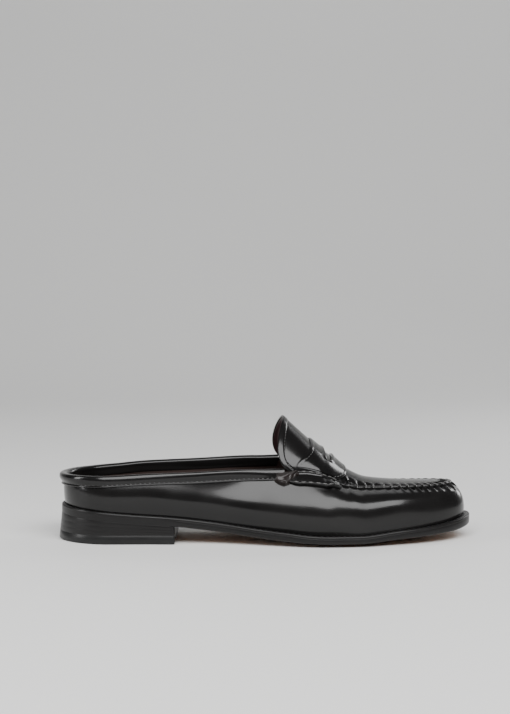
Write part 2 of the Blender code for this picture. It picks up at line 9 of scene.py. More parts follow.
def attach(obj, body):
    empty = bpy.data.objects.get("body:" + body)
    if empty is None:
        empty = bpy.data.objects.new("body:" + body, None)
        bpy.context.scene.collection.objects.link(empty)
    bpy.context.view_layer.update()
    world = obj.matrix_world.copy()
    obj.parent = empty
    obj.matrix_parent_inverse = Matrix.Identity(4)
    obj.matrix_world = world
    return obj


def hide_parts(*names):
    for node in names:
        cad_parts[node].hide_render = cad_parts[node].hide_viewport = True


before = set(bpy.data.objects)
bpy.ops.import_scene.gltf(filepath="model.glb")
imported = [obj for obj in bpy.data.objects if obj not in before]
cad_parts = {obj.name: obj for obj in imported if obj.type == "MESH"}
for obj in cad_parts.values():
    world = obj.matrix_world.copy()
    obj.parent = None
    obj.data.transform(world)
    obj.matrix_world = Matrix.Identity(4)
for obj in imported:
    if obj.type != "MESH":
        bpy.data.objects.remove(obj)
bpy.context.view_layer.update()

# Studio: a pale sweep of paper, a long soft box high on the camera's side, a weak one behind,
# a strip behind the heel and one past the toe, and the camera low on the shoe's outer side.

DISTANCE = 1.150  # camera to the middle of the shoe
camera_data = bpy.data.cameras.new("camera")
camera_data.lens = 88.13
camera_data.sensor_width = 36
camera = bpy.data.objects.new("camera", camera_data)
tilt = math.radians(7.7)
camera.location = (-0.0066, -DISTANCE * math.cos(tilt), 0.036 + DISTANCE * math.sin(tilt))
camera.rotation_euler = (math.radians(90 - 3.62), 0, 0)
bpy.context.scene.collection.objects.link(camera)
bpy.context.scene.camera = camera

bm = bmesh.new()
bmesh.ops.create_grid(bm, x_segments=1, y_segments=80, size=1)
for vert in bm.verts:
    reach = (vert.co.y + 1) / 2 * 10.0
    bend = min(max(reach - 8.0, 0.0) / 0.9, math.pi / 2)
    rise = 0.9 * (1 - math.cos(bend)) + max(reach - 8.0 - 0.9 * math.pi / 2, 0.0)
    vert.co = (vert.co.x * 5.0, min(reach, 8.0) - 7.0 + 0.9 * math.sin(bend), rise - 0.0002)
sweep_mesh = bpy.data.meshes.new("paper_sweep")
bm.to_mesh(sweep_mesh)
bm.free()
sweep_mesh.shade_smooth()
sweep = bpy.data.objects.new("paper_sweep", sweep_mesh)
bpy.context.scene.collection.objects.link(sweep)
paper = bpy.data.materials.new("paper")
paper.use_nodes = True
paper.node_tree.nodes["Principled BSDF"].inputs["Base Color"].default_value = (0.78, 0.78, 0.77, 1)
paper.node_tree.nodes["Principled BSDF"].inputs["Roughness"].default_value = 0.7
sweep_mesh.materials.append(paper)

world = bpy.data.worlds.new("studio")
world.use_nodes = True
world.node_tree.nodes["Background"].inputs["Color"].default_value = (0.30, 0.30, 0.31, 1)
world.node_tree.nodes["Background"].inputs["Strength"].default_value = 0.35
bpy.context.scene.world = world


def soft_box(name, place, aim, width, height, power):
    data = bpy.data.lights.new(name, "AREA")
    data.shape = "RECTANGLE"
    data.size, data.size_y = width, height
    data.energy = power
    lamp = bpy.data.objects.new(name, data)
    lamp.location = place
    lamp.rotation_euler = (Vector(aim) - Vector(place)).to_track_quat("-Z", "Y").to_euler()
    bpy.context.scene.collection.objects.link(lamp)


soft_box("front", (0.30, -1.30, 1.45), (0.1, 0.0, 0.05), 2.40, 1.20, 78)
soft_box("back", (0.20, 1.15, 1.15), (0.0, 0.0, 0.05), 2.20, 0.45, 2.5)
soft_box("behind_heel", (-0.95, -0.25, 0.40), (-0.13, 0.0, 0.03), 0.22, 0.6, 4)
soft_box("before_toe", (0.80, 0.75, 0.45), (0.12, 0.0, 0.03), 0.20, 0.6, 3)

# Outsole: one piece of tan sole leather, cut to the shape of the last, its edge trimmed, dyed
# black and burnished. It thickens towards the toe, where it curls up off the floor.

LENGTH = 0.270
BALL_WIDTH = 0.094
HEEL_WIDTH = 0.066
HEEL_HEIGHT = 0.0173
HEEL_FLARE = 0.0018
TOE_SPRING = 0.0080
TOE_SWING = 0.0085
EDGE_LIFT = 0.0020
OUTSOLE = 0.0036
HEEL_ROUND = 0.125
TOE_ROUND = 0.200
TOE_FULLNESS = 2.2
CLEAR = 0.0003


def table(columns, *rows):
    """Rows of numbers under named columns."""
    return {name: np.array([row[i] for row in rows]) for i, name in enumerate(columns.split())}


SOLE = table(
    "place ball outer inner axis seat spring crown thick margin",
    (0.000, 0.0, 0.960, 0.960, 0.00, 1.000, 0.00, 0.00, 1.00, 0.40),
    (0.120, 0.0, 1.000, 1.000, 0.00, 0.835, 0.00, 0.00, 1.00, 0.40),
    (0.200, 0.0, 0.990, 0.985, 0.00, 0.735, 0.00, 0.00, 1.00, 0.42),
    (0.285, 0.1, 0.960, 0.900, 0.00, 0.645, 0.00, 0.00, 1.00, 0.45),
    (0.380, 0.3, 0.915, 0.780, 0.00, 0.460, 0.00, 0.20, 1.00, 0.50),
    (0.487, 0.7, 0.930, 0.755, 0.00, 0.215, 0.00, 0.55, 1.00, 0.70),
    (0.550, 0.9, 0.960, 0.815, 0.00, 0.090, 0.00, 0.85, 1.00, 0.85),
    (0.600, 1.0, 0.985, 0.900, 0.02, 0.025, 0.00, 1.00, 0.84, 0.95),
    (0.645, 1.0, 1.000, 0.960, 0.06, 0.000, 0.00, 1.00, 0.80, 1.00),
    (0.720, 1.0, 0.985, 0.975, 0.20, 0.000, 0.00, 1.00, 0.80, 1.00),
    (0.810, 1.0, 0.895, 0.895, 0.48, 0.000, 0.22, 1.00, 0.92, 1.00),
    (0.900, 1.0, 0.815, 0.815, 0.78, 0.000, 0.43, 0.80, 1.08, 1.00),
    (0.960, 1.0, 0.775, 0.775, 0.93, 0.000, 0.68, 0.40, 1.30, 0.90),
    (1.000, 1.0, 0.755, 0.755, 1.00, 0.000, 1.00, 0.00, 1.45, 0.85),
)


def read(chart, name, place):
    """Values of one column at the given places, on a smooth curve that never overshoots."""
    places, values = chart["place"], chart[name]
    slopes = np.diff(values) / np.diff(places)
    before = np.concatenate((slopes[:1], slopes))
    after = np.concatenate((slopes, slopes[-1:]))
    level = before * after <= 0
    tangents = np.where(level, 0.0, 2 * before * after / np.where(level, 1.0, before + after))
    place = np.asarray(place, dtype=float)
    i = np.clip(np.searchsorted(places, place) - 1, 0, len(places) - 2)
    width = places[i + 1] - places[i]
    t = np.clip((place - places[i]) / width, 0, 1)
    start = values[i] * (2 * t**3 - 3 * t**2 + 1) + values[i + 1] * (3 * t**2 - 2 * t**3)
    return start + width * (tangents[i] * (t**3 - 2 * t**2 + t) + tangents[i + 1] * (t**3 - t**2))


def mix(a, b, share):
    return a + (b - a) * share


def smooth(low, high, value):
    """0 below low, 1 above high, with a soft step between them."""
    t = np.clip((value - low) / (high - low), 0.0, 1.0)
    return t * t * (3 - 2 * t)


def place_of(turn):
    """Share of the length: 0 at the heel (turn 0), 1 at the toe (turn -1 outside, 1 inside)."""
    return (1 - np.cos(np.pi * np.abs(turn))) / 2


def side_of(turn):
    return np.where(np.sin(np.pi * np.asarray(turn)) < 0, -1.0, 1.0)


def rounding(place):
    """Share of the full width that is left where the heel and toe are rounded off."""
    heel = np.sqrt(np.maximum(1 - (1 - np.clip(place / HEEL_ROUND, 0, 1)) ** 2, 0.0))
    reach = np.clip((place - 1) / TOE_ROUND + 1, 0.0, 1.0)
    return np.where(place < HEEL_ROUND, heel, (1 - reach**TOE_FULLNESS) ** (1 / TOE_FULLNESS))


def half_width(side, place):
    full = mix(HEEL_WIDTH, BALL_WIDTH, read(SOLE, "ball", place))
    return full / 2 * np.where(side < 0, read(SOLE, "outer", place), read(SOLE, "inner", place))


def axis(place):
    return TOE_SWING * read(SOLE, "axis", place)


def outline(turn, inset=0.0, back=HEEL_FLARE, front=0.0):
    """Plan of the sole's edge, or of a line set in from it."""
    place = place_of(turn)
    side = side_of(turn)
    x = -LENGTH / 2 + back + (LENGTH - back - front) * place
    return np.stack((x, axis(place) + side * (half_width(side, place) - inset) * rounding(place)), -1)


def tread(x, y):
    """Underside of the outsole over the plan: flat in the middle, lifting to its edges."""
    place = np.clip((x + LENGTH / 2 - HEEL_FLARE) / (LENGTH - HEEL_FLARE), 0.0, 1.0)
    side = np.where(y < axis(place), -1.0, 1.0)
    reach = np.maximum(half_width(side, place) * rounding(place), CLEAR)
    across = np.minimum(np.abs(y - axis(place)) / reach, 1.0)
    edge = EDGE_LIFT * read(SOLE, "crown", place) * (np.maximum(across - 0.35, 0) / 0.65) ** 1.6
    return HEEL_HEIGHT * read(SOLE, "seat", place) + TOE_SPRING * read(SOLE, "spring", place) + edge


def outsole_top(x, y):
    return tread(x, y) + OUTSOLE * read(SOLE, "thick", np.clip(x / LENGTH + 0.5, 0.0, 1.0))


def laid(bm, points):
    """Adds a grid and lays its vertices on the given rows of points."""
    rows, columns = points.shape[:2]
    made = bmesh.ops.create_grid(bm, x_segments=columns - 1, y_segments=rows - 1, size=1)
    for vert, point in zip(made["verts"], points.reshape(-1, 3)):
        vert.co = point
    return made["verts"]


def piece(name, bm, *materials, closed=True):
    """Finished, smooth shaded object from a bmesh; it rides with the shoe."""
    bmesh.ops.remove_doubles(bm, verts=bm.verts, dist=1e-6)
    bmesh.ops.dissolve_degenerate(bm, edges=bm.edges, dist=1e-7)
    if closed:
        bmesh.ops.recalc_face_normals(bm, faces=bm.faces)
    mesh = bpy.data.meshes.new(name)
    bm.to_mesh(mesh)
    bm.free()
    mesh.shade_smooth()
    mesh.set_sharp_from_angle(angle=math.radians(50))
    for material in materials:
        mesh.materials.append(material)
    made = bpy.data.objects.new(name, mesh)
    bpy.context.scene.collection.objects.link(made)
    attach(made, "root")
    return made


def plan_normal(line):
    """Outward unit normals of a closed line of plan points."""
    along = np.roll(line, -1, 0) - np.roll(line, 1, 0)
    along /= np.maximum(np.linalg.norm(along, axis=1), 1e-9)[:, None]
    return np.stack((-along[:, 1], along[:, 0]), -1)


def plate(line, over, under, edge, inner=(0.0, 0.35, 0.7, 0.9), trim=1.0):
    """Closed plate: its plan is a line of points, over and under give its two heights, and edge
    lists steps (inward, share of the thickness, extra outward) that shape its rim. trim is the
    share of the inward steps that each point of the line takes."""
    out = plan_normal(line) * np.reshape(trim, (-1, 1))
    first, last = line - out * edge[0][0], line - out * edge[-1][0]
    rows = []
    for rim, height, shares in ((first, under, inner), (last, over, inner[::-1])):
        middle = np.stack((rim[:, 0], axis(np.clip(rim[:, 0] / LENGTH + 0.5, 0, 1))), -1)
        block = []
        for share in shares:
            flat = middle + (rim - middle) * share
            block.append(np.column_stack((flat, height(flat[:, 0], flat[:, 1]))))
        rows.append(block)
    rim_rows = []
    for inward, share, extra in edge:
        flat = line - out * (inward - extra)
        low, high = under(line[:, 0], line[:, 1]), over(line[:, 0], line[:, 1])
        rim_rows.append(np.column_stack((flat, mix(low, high, share))))
    stack = np.array(rows[0] + rim_rows + rows[1])
    return np.concatenate((stack, stack[:, :1]), 1)


class Wire:
    """A socket among a material's nodes; sums and products of wires are Math nodes."""

    def __init__(self, tree, socket=None):
        self.tree, self.socket = tree, socket

    def node(self, kind, settings=None, sockets=None, output=0):
        made = self.tree.nodes.new(kind)
        for key, value in (settings or {}).items():
            if key == "stops":
                for stop, (place, shade) in zip(made.color_ramp.elements, value):
                    stop.position, stop.color = place, (*shade, 1)
            else:
                setattr(made, key, value)
        for key, value in (sockets or {}).items():
            if isinstance(value, Wire):
                self.tree.links.new(value.socket, made.inputs[key])
            else:
                made.inputs[key].default_value = value
        return Wire(self.tree, made.outputs[output])

    def math(self, operation, first, second=0.0):
        return self.node("ShaderNodeMath", {"operation": operation}, {0: first, 1: second})

    def __add__(self, other):
        return self.math("ADD", self, other)

    def __sub__(self, other):
        return self.math("SUBTRACT", self, other)

    def __rsub__(self, other):
        return self.math("SUBTRACT", other, self)

    def __mul__(self, other):
        return self.math("MULTIPLY", self, other)

    def __truediv__(self, other):
        return self.math("DIVIDE", self, other)

    def __pow__(self, other):
        return self.math("POWER", self, other)

    __radd__ = __add__
    __rmul__ = __mul__

    def blend(self, first, second):
        """One colour or the other, as far as this wire is 0 or 1."""
        sockets = {0: self, 6: (*first, 1) if isinstance(first, tuple) else first}
        sockets[7] = (*second, 1) if isinstance(second, tuple) else second
        return self.node("ShaderNodeMix", {"data_type": "RGBA"}, sockets, output=2)

    def between(self, low, high, start=0.0, stop=1.0):
        """This wire's range from low to high, stretched to the range from start to stop."""
        return self.node("ShaderNodeMapRange", {}, {0: self, 1: low, 2: high, 3: start, 4: stop})


def surface(name, constants):
    """New material with its constants set, its shader and a wire to add nodes with."""
    material = bpy.data.materials.new(name)
    material.use_nodes = True
    shader = material.node_tree.nodes["Principled BSDF"]
    for key, value in constants.items():
        shader.inputs[key].default_value = value
    return material, shader, Wire(material.node_tree)


def link(shader, **wires):
    for key, wire in wires.items():
        wire.tree.links.new(wire.socket, shader.inputs[key.replace("_", " ")])


def here(wire):
    """Place on the object, in metres."""
    return wire.node("ShaderNodeTexCoord", output=3)


def burnished(name, shade, roughness, lines):
    """Dyed and waxed leather edge: faint level lines of its fibres, and a soft shine."""
    material, shader, wire = surface(name, {"Specular IOR Level": 0.25, "Coat Weight": 0.06, "Coat Roughness": 0.2})
    place = here(wire)
    stretched = wire.node("ShaderNodeMapping", {}, {"Vector": place, "Scale": (60, 60, lines)})
    fibre = wire.node("ShaderNodeTexNoise", {}, {"Vector": stretched, "Scale": 1.0, "Detail": 3.0})
    cloud = wire.node("ShaderNodeTexNoise", {}, {"Vector": place, "Scale": 45.0, "Detail": 2.0})
    lighter = tuple(min(channel * 2.2 + 0.006, 1.0) for channel in shade)
    link(
        shader,
        Base_Color=(fibre.between(0.35, 0.75) * 0.15).blend(shade, lighter),
        Roughness=cloud.between(0.3, 0.7, roughness - 0.05, roughness + 0.06),
        Normal=wire.node("ShaderNodeBump", {}, {"Height": fibre, "Strength": 0.04, "Distance": 0.0001}),
    )
    return material


SOLE_SECTIONS = 420
around = np.linspace(-1, 1, SOLE_SECTIONS, endpoint=False)
sole_line = outline(around)
EDGE_ROUND = 0.0012  # trimmed corners of the sole's edge
sole_edge = [(EDGE_ROUND, 0.0, 0.0), (EDGE_ROUND * 0.5, 0.07, 0.0), (EDGE_ROUND * 0.2, 0.17, 0.0)]
sole_edge += [(EDGE_ROUND * 0.04, 0.32, 0.0), (0.0, 0.55, 0.0), (0.0, 0.96, 0.0), (EDGE_ROUND * 0.06, 1.0, 0.0)]
over_heel = smooth(-0.062, -0.054, sole_line[:, 0])  # no corner is cut where the heel is glued on
bm = bmesh.new()
laid(bm, plate(sole_line, lambda x, y: outsole_top(x, y) + CLEAR, tread, sole_edge, trim=mix(0.05, 1, over_heel)))

black_edge = burnished("burnished_black", (0.006, 0.0056, 0.0056), 0.36, 900)
tan, tan_shader, tan_wire = surface("tan_sole_leather", {"Coat Weight": 0.15, "Coat Roughness": 0.3})
tan_place = here(tan_wire)
tan_cloud = tan_wire.node("ShaderNodeTexNoise", {}, {"Vector": tan_place, "Scale": 30.0, "Detail": 4.0})
tan_pores = tan_wire.node("ShaderNodeTexVoronoi", {}, {"Vector": tan_place, "Scale": 900.0})
link(
    tan_shader,
    Base_Color=tan_cloud.between(0.3, 0.7).blend((0.33, 0.175, 0.085), (0.25, 0.12, 0.055)),
    Roughness=tan_cloud.between(0.3, 0.7, 0.38, 0.52),
    Normal=tan_wire.node("ShaderNodeBump", {}, {"Height": tan_pores, "Strength": 0.2, "Distance": 0.0001}),
)
for face in bm.faces:
    lowest = max(vert.co.z - float(tread(vert.co.x, vert.co.y)) for vert in face.verts)
    face.material_index = 1 if lowest < 0.00002 and face.calc_area() > 1.5e-6 else 0
sole = piece("outsole_leather", bm, black_edge, tan)
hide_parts("outsole")

# Heel: layers of leather pegged and glued under the seat, trimmed to a slight flare, dyed and
# burnished like the sole's edge, with a top piece of rubber that takes the wear.

HEEL_LENGTH = 0.077
LIFT = 0.0055
BREAST_ROUND = 0.0006  # corners where the heel's sides meet its flat front

breast = -LENGTH / 2 + HEEL_LENGTH
heel_place = (HEEL_LENGTH - HEEL_FLARE) / (LENGTH - HEEL_FLARE)
heel_turn = math.acos(1 - 2 * heel_place) / math.pi
side_turns = np.linspace(-heel_turn, heel_turn, 180)
heel_line = outline(side_turns)
front_y = np.linspace(heel_line[-1, 1] - BREAST_ROUND, heel_line[0, 1] + BREAST_ROUND, 40)
heel_line[0, 0] = heel_line[-1, 0] = breast - BREAST_ROUND
heel_line = np.concatenate((heel_line, np.stack((np.full(40, breast), front_y), -1)))


def heel_solid(low, high, edge):
    """Closed slice of the heel between two heights, spread backwards as it nears the floor."""
    points = plate(heel_line, high, low, edge)
    share = np.clip(1 - points[:, :, 2] / HEEL_HEIGHT, 0.0, 1.0)
    points[:, :, 0] -= HEEL_FLARE * share * (breast - points[:, :, 0]) / (HEEL_LENGTH - HEEL_FLARE)
    bm = bmesh.new()
    laid(bm, points)
    return bm


def level(height):
    return lambda x, y: np.full_like(np.asarray(x, dtype=float), height)


block_edge = [(0.00005, 0.0, 0.0), (0.0, 0.01, 0.0)]
for joint in (0.33, 0.66):
    block_edge += [(0.0, joint - 0.02, 0.0), (0.00003, joint, 0.0), (0.0, joint + 0.02, 0.0)]
block_edge += [(0.0, 0.99, 0.0), (0.00003, 1.0, 0.0)]
heel = piece("heel_stack", heel_solid(level(LIFT + CLEAR / 2), tread, block_edge), black_edge)
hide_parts("heel_block")

rubber, rubber_shader, rubber_wire = surface("heel_rubber", {"Specular IOR Level": 0.25, "Coat Weight": 0.05})
rubber_place = here(rubber_wire)
rubber_grit = rubber_wire.node("ShaderNodeTexNoise", {}, {"Vector": rubber_place, "Scale": 1500.0, "Detail": 2.0})
rubber_cloud = rubber_wire.node("ShaderNodeTexNoise", {}, {"Vector": rubber_place, "Scale": 60.0})
link(
    rubber_shader,
    Base_Color=rubber_cloud.between(0.3, 0.7).blend((0.008, 0.008, 0.008), (0.012, 0.012, 0.012)),
    Roughness=rubber_cloud.between(0.3, 0.7, 0.34, 0.42),
    Normal=rubber_wire.node("ShaderNodeBump", {}, {"Height": rubber_grit, "Strength": 0.15, "Distance": 0.0001}),
)
lift_edge = [(0.0005, 0.0, 0.0), (0.00015, 0.05, 0.0), (0.0, 0.12, 0.0), (0.0, 0.99, 0.0), (0.00005, 1.0, 0.0)]
lift = piece("heel_top_piece", heel_solid(level(0.0), level(LIFT + CLEAR / 2), lift_edge), rubber)
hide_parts("top_lift")

# Welt: a flat strip of black leather round the whole sole, sewn through to the outsole by a row
# of short stitches in a shallow channel, with a narrow groove left along the upper's foot.

WELT = 0.0019
WELT_MARGIN = 0.0050
WELT_OVERLAP = 0.0060
TOE_SETBACK = 0.0040


def welt_bottom(x, y):
    return outsole_top(x, y) + CLEAR


def welt_top(x, y):
    return welt_bottom(x, y) + WELT


def foot_line(turn, inset=0.0):
    """Foot of the upper on the welt, or a line set in from it."""
    place = place_of(turn)
    margin = WELT_MARGIN * read(SOLE, "margin", place)
    back = HEEL_FLARE + WELT_MARGIN * SOLE["margin"][0]
    return outline(turn, margin + inset, back + inset * (1 - place), TOE_SETBACK + inset * place)


outer_edge, foot = outline(around), foot_line(around)
inner_edge = outline(around, WELT_MARGIN * read(SOLE, "margin", place_of(around)) + WELT_OVERLAP,
                     HEEL_FLARE + WELT_MARGIN + WELT_OVERLAP, WELT_MARGIN + WELT_OVERLAP)
out = plan_normal(outer_edge)
profile = []
for inward, rise in ((0.00007, 0.0), (0.0, 0.0001), (0.0, 0.0005), (0.00005, 0.0010), (0.0002, 0.0014),
                     (0.0005, 0.00172), (0.0009, 0.00186)):
    flat = outer_edge - out * inward * (1 + smooth(0.80, 1.0, place_of(around)))[:, None]
    profile.append(np.column_stack((flat, welt_bottom(*flat.T) + rise)))
for share, rise in ((0.52, WELT), (0.60, WELT - 0.00025), (0.68, WELT), (0.86, WELT), (0.94, WELT - 0.0002),
                    (1.0, WELT - 0.0008)):
    flat = mix(outer_edge, foot, share)
    profile.append(np.column_stack((flat, welt_bottom(*flat.T) + rise)))
for share in (1.12, 1.3):
    flat = mix(outer_edge, foot, share)
    profile.append(np.column_stack((flat, welt_bottom(*flat.T) + WELT - 0.0008)))
for flat, rise in ((inner_edge, WELT), (inner_edge, 0.0), (foot, 0.0)):
    profile.append(np.column_stack((flat, welt_bottom(*flat.T) + rise)))
profile = np.array(profile + profile[:1])
bm = bmesh.new()
laid(bm, np.concatenate((profile, profile[:, :1]), 1))
welt = piece("welt_strip", bm, black_edge)
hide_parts("welt")


def stitch_row(bm, starts, ends, up, thick):
    """Adds one short swollen stitch from each start to its end; up is away from the leather."""
    for start, end, rise in zip(starts, ends, up):
        along = Vector(end - start)
        rise = Vector(rise).normalized()
        aside = rise.cross(along).normalized()
        rise = along.normalized().cross(aside) * -1
        turned = Matrix((along / 2, aside * thick / 2, along.cross(aside).normalized() * thick / 2))
        matrix = Matrix.Translation(Vector((start + end) / 2)) @ turned.transposed().to_4x4()
        bmesh.ops.create_uvsphere(bm, u_segments=8, v_segments=6, radius=1, matrix=matrix)


def walked(line, pitch):
    """Points at even steps along a line; any further columns it carries, such as directions, come along."""
    run = np.concatenate(([0.0], np.cumsum(np.linalg.norm(np.diff(line, axis=0), axis=1))))
    count = max(int(run[-1] / pitch), 2)
    at = np.linspace(0, run[-1], count + 1)
    return np.stack([np.interp(at, run, line[:, k]) for k in range(line.shape[1])], -1)


# Black waxed thread: its base is lifted to a dark grey, a painted sheen that brightens the stitches; the ply's
# noise varies it at random.
thread, thread_shader, thread_wire = surface("waxed_thread_painted_sheen", {"Coat Weight": 0.8, "Coat Roughness": 0.15})
thread_place = here(thread_wire)
thread_ply = thread_wire.node("ShaderNodeTexNoise", {}, {"Vector": thread_place, "Scale": 3000.0, "Detail": 2.0})
link(
    thread_shader,
    Base_Color=thread_ply.between(0.3, 0.7).blend((0.028, 0.027, 0.026), (0.060, 0.058, 0.056)),
    Roughness=thread_ply.between(0.3, 0.7, 0.22, 0.34),
    Normal=thread_wire.node("ShaderNodeBump", {}, {"Height": thread_ply, "Strength": 0.4, "Distance": 0.0001}),
)

WELT_PITCH = 0.0036
WAIST = -0.045  # where the visible row of stitches starts, from the shoe's middle
flat = mix(outer_edge, foot, 0.60)
channel = np.column_stack((flat, welt_top(*flat.T) - 0.00018))
holes = walked(np.roll(channel, len(channel) // 2, 0), WELT_PITCH)
holes = holes[holes[:, 0] > WAIST]
bm = bmesh.new()
up = np.tile((0.0, 0.0, 1.0), (len(holes) - 1, 1))
stitch_row(bm, mix(holes[:-1], holes[1:], 0.12), mix(holes[:-1], holes[1:], 0.88), up, 0.0006)
welt_stitches = piece("welt_stitches", bm, thread)

# Insole: a board with a padded sock of dark leather glued on it, a little proud in the middle
# of the heel.

INSOLE = 0.0025
WALL = 0.0018


def insole_bottom(x, y):
    return welt_top(x, y) + CLEAR


insole_line = foot_line(around, WALL + 2 * CLEAR)
insole_edge = [(0.0003, 0.0, 0.0), (0.0, 0.15, 0.0), (0.0, 0.7, 0.0), (0.0004, 0.92, 0.0), (0.0012, 1.0, 0.0)]
bm = bmesh.new()
laid(bm, plate(insole_line, lambda x, y: insole_bottom(x, y) + INSOLE, insole_bottom, insole_edge))


def soft_leather(name, dark, light, roughness, grain, depth, constants):
    """Grained leather: small pebbles, a slow change of colour and shine over it."""
    material, shader, wire = surface(name, constants)
    place = here(wire)
    pebble = wire.node("ShaderNodeTexVoronoi", {}, {"Vector": place, "Scale": grain})
    crease = wire.node("ShaderNodeTexNoise", {}, {"Vector": place, "Scale": grain / 12, "Detail": 4.0})
    cloud = wire.node("ShaderNodeTexNoise", {}, {"Vector": place, "Scale": 28.0, "Detail": 3.0})
    height = pebble.between(0.0, 0.6) * 0.5 + crease
    link(
        shader,
        Base_Color=cloud.between(0.3, 0.7).blend(dark, light),
        Roughness=cloud.between(0.3, 0.7, roughness[0], roughness[1]),
        Normal=wire.node("ShaderNodeBump", {}, {"Height": height, "Strength": 0.5, "Distance": depth}),
    )
    return material


# Dark sock leather of the insole; the wall's lining below also wears it, there as painted shade.
sock_and_lining_shade_leather = soft_leather(
    "sock_and_lining_shade_leather", (0.020, 0.012, 0.010), (0.035, 0.020, 0.016), (0.42, 0.56), 1100.0, 0.00008, {}
)
insole = piece("insole_sock", bm, sock_and_lining_shade_leather)
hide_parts("insole")

# Vamp and quarters: one wall of polished black leather drawn round the last, from the welt up
# to the collar behind and to the apron's edge in front, where its fullness is gathered.

WALL_BULGE = 0.0040
SHOULDER = 0.0190
SEAM_SETBACK = 0.0130
COLLAR_SETBACK = 0.0034
COLLAR_BACK = 0.0430
COLLAR_SIDE = 0.0488
SEAM_HEIGHT = 0.0340
COLLAR_TILT = 0.0009
INNER_DROP = 0.0010
TONGUE_TURN = math.radians(3.4)
BINDING = 0.0021
SKEW_FROM, SKEW_FULL = 0.36, 0.55
LEATHER = 0.0010  # outer leather; the rest of WALL is lining
NEXT = 0.004  # step in turn or share over which a slope is measured

TOP_LINE = table(
    "place outer inner back side seam bound tilt",
    (0.013, 0.600, 0.655, 1.000, 0.000, 0.000, 1.0, 0.0),
    (0.050, 0.608, 0.660, 1.005, 0.000, 0.000, 1.0, 0.0),
    (0.120, 0.618, 0.675, 0.780, 0.210, 0.000, 1.0, 0.4),
    (0.200, 0.610, 0.688, 0.500, 0.490, 0.000, 1.0, 0.9),
    (0.346, 0.602, 0.700, 0.100, 0.878, 0.000, 1.0, 1.0),
    (0.480, 0.614, 0.700, 0.000, 1.000, 0.000, 1.0, 1.0),
    (0.534, 0.620, 0.695, 0.000, 1.000, 0.000, 0.8, 1.0),
    (0.551, 0.619, 0.688, 0.000, 0.998, 0.000, 0.6, 0.9),
    (0.584, 0.614, 0.676, 0.000, 0.985, 0.000, 0.3, 0.6),
    (0.612, 0.605, 0.657, 0.000, 0.945, 0.000, 0.1, 0.3),
    (0.632, 0.588, 0.630, 0.000, 0.900, 0.000, 0.0, 0.1),
    (0.650, 0.560, 0.598, 0.000, 0.680, 0.260, 0.0, 0.0),
    (0.666, 0.532, 0.562, 0.000, 0.420, 0.530, 0.0, 0.0),
    (0.690, 0.494, 0.505, 0.000, 0.000, 1.050, 0.0, 0.0),
    (0.720, 0.472, 0.475, 0.000, 0.000, 1.005, 0.0, 0.0),
    (0.770, 0.455, 0.455, 0.000, 0.000, 1.000, 0.0, 0.0),
    (0.870, 0.460, 0.460, 0.000, 0.000, 1.000, 0.0, 0.0),
    (0.930, 0.490, 0.490, 0.000, 0.000, 1.010, 0.0, 0.0),
    (0.952, 0.500, 0.500, 0.000, 0.000, 1.018, 0.0, 0.0),
)
SWELL = table(
    "place foot_out foot_up top_out top_down",
    (0.000, 0.25, 0.38, 0.030, 0.27),
    (0.200, 0.69, 0.43, 0.195, 0.34),
    (0.400, 0.97, 0.53, 0.150, 0.52),
    (0.560, 1.16, 0.44, 0.490, 0.42),
    (0.650, 1.13, 0.44, 0.715, 0.42),
    (0.720, 0.27, 0.55, 1.040, 0.12),
    (0.820, -0.15, 0.61, 0.940, 0.12),
    (0.930, 0.18, 0.55, 0.550, 0.13),
    (1.000, 0.50, 0.35, 0.400, 0.10),
)


def top_line(turn):
    """Upper line of the wall: the rim under the binding, and the apron's edge in front."""
    share = place_of(turn)
    side = side_of(turn)
    place = mix(COLLAR_SETBACK / LENGTH, 1 - SEAM_SETBACK / LENGTH, share)
    half = np.where(side < 0, read(TOP_LINE, "outer", place), read(TOP_LINE, "inner", place))
    y = axis(share) + side * BALL_WIDTH / 2 * half * rounding(share)
    skew = math.tan(TONGUE_TURN) * smooth(SKEW_FROM, SKEW_FULL, place) * (1 - smooth(0.8, 1.0, share))
    height = COLLAR_BACK * read(TOP_LINE, "back", place) + COLLAR_SIDE * read(TOP_LINE, "side", place)
    height = height + SEAM_HEIGHT * read(TOP_LINE, "seam", place)
    height = height - (BINDING + CLEAR) * read(TOP_LINE, "bound", place)
    height = height + side * COLLAR_TILT * read(TOP_LINE, "tilt", place) * rounding(share)
    height = height - np.where(side > 0, INNER_DROP * read(TOP_LINE, "seam", place) * rounding(share), 0)
    return np.stack(((place - 0.5) * LENGTH - skew * (y - axis(share)), y, height), -1)


def wall(turn, up):
    """Outer surface of the wall, from the welt (up 0) to its upper line (up 1)."""
    turn, up = np.broadcast_arrays(np.asarray(turn, dtype=float), np.asarray(up, dtype=float))
    place = place_of(turn)
    flat = foot_line(turn)
    foot = np.concatenate((flat, (welt_top(flat[..., 0], flat[..., 1]) + CLEAR)[..., None]), -1)
    top = top_line(turn)
    along = foot_line(turn + NEXT) - foot_line(turn - NEXT)
    along /= np.linalg.norm(along, axis=-1)[..., None]
    outward = np.stack((-along[..., 1], along[..., 0], np.zeros_like(turn)), -1)
    rise = top[..., 2] - foot[..., 2]
    lower = foot + outward * WALL_BULGE * read(SWELL, "foot_out", place)[..., None]
    lower[..., 2] += rise * read(SWELL, "foot_up", place)
    upper = top + outward * SHOULDER * read(SWELL, "top_out", place)[..., None]
    upper[..., 2] -= rise * read(SWELL, "top_down", place)
    up = up[..., None]
    down = 1 - up
    return down**3 * foot + 3 * down**2 * up * lower + 3 * down * up**2 * upper + up**3 * top


def unit(vectors):
    return vectors / np.maximum(np.linalg.norm(vectors, axis=-1), 1e-12)[..., None]


def wall_normal(turn, up):
    """Outward unit normal of the wall, by differences."""
    up = np.clip(up, NEXT, 1 - NEXT)
    along = wall(turn + NEXT, up) - wall(turn - NEXT, up)
    aside = wall(turn, up + NEXT) - wall(turn, up - NEXT)
    return unit(np.cross(aside, along))


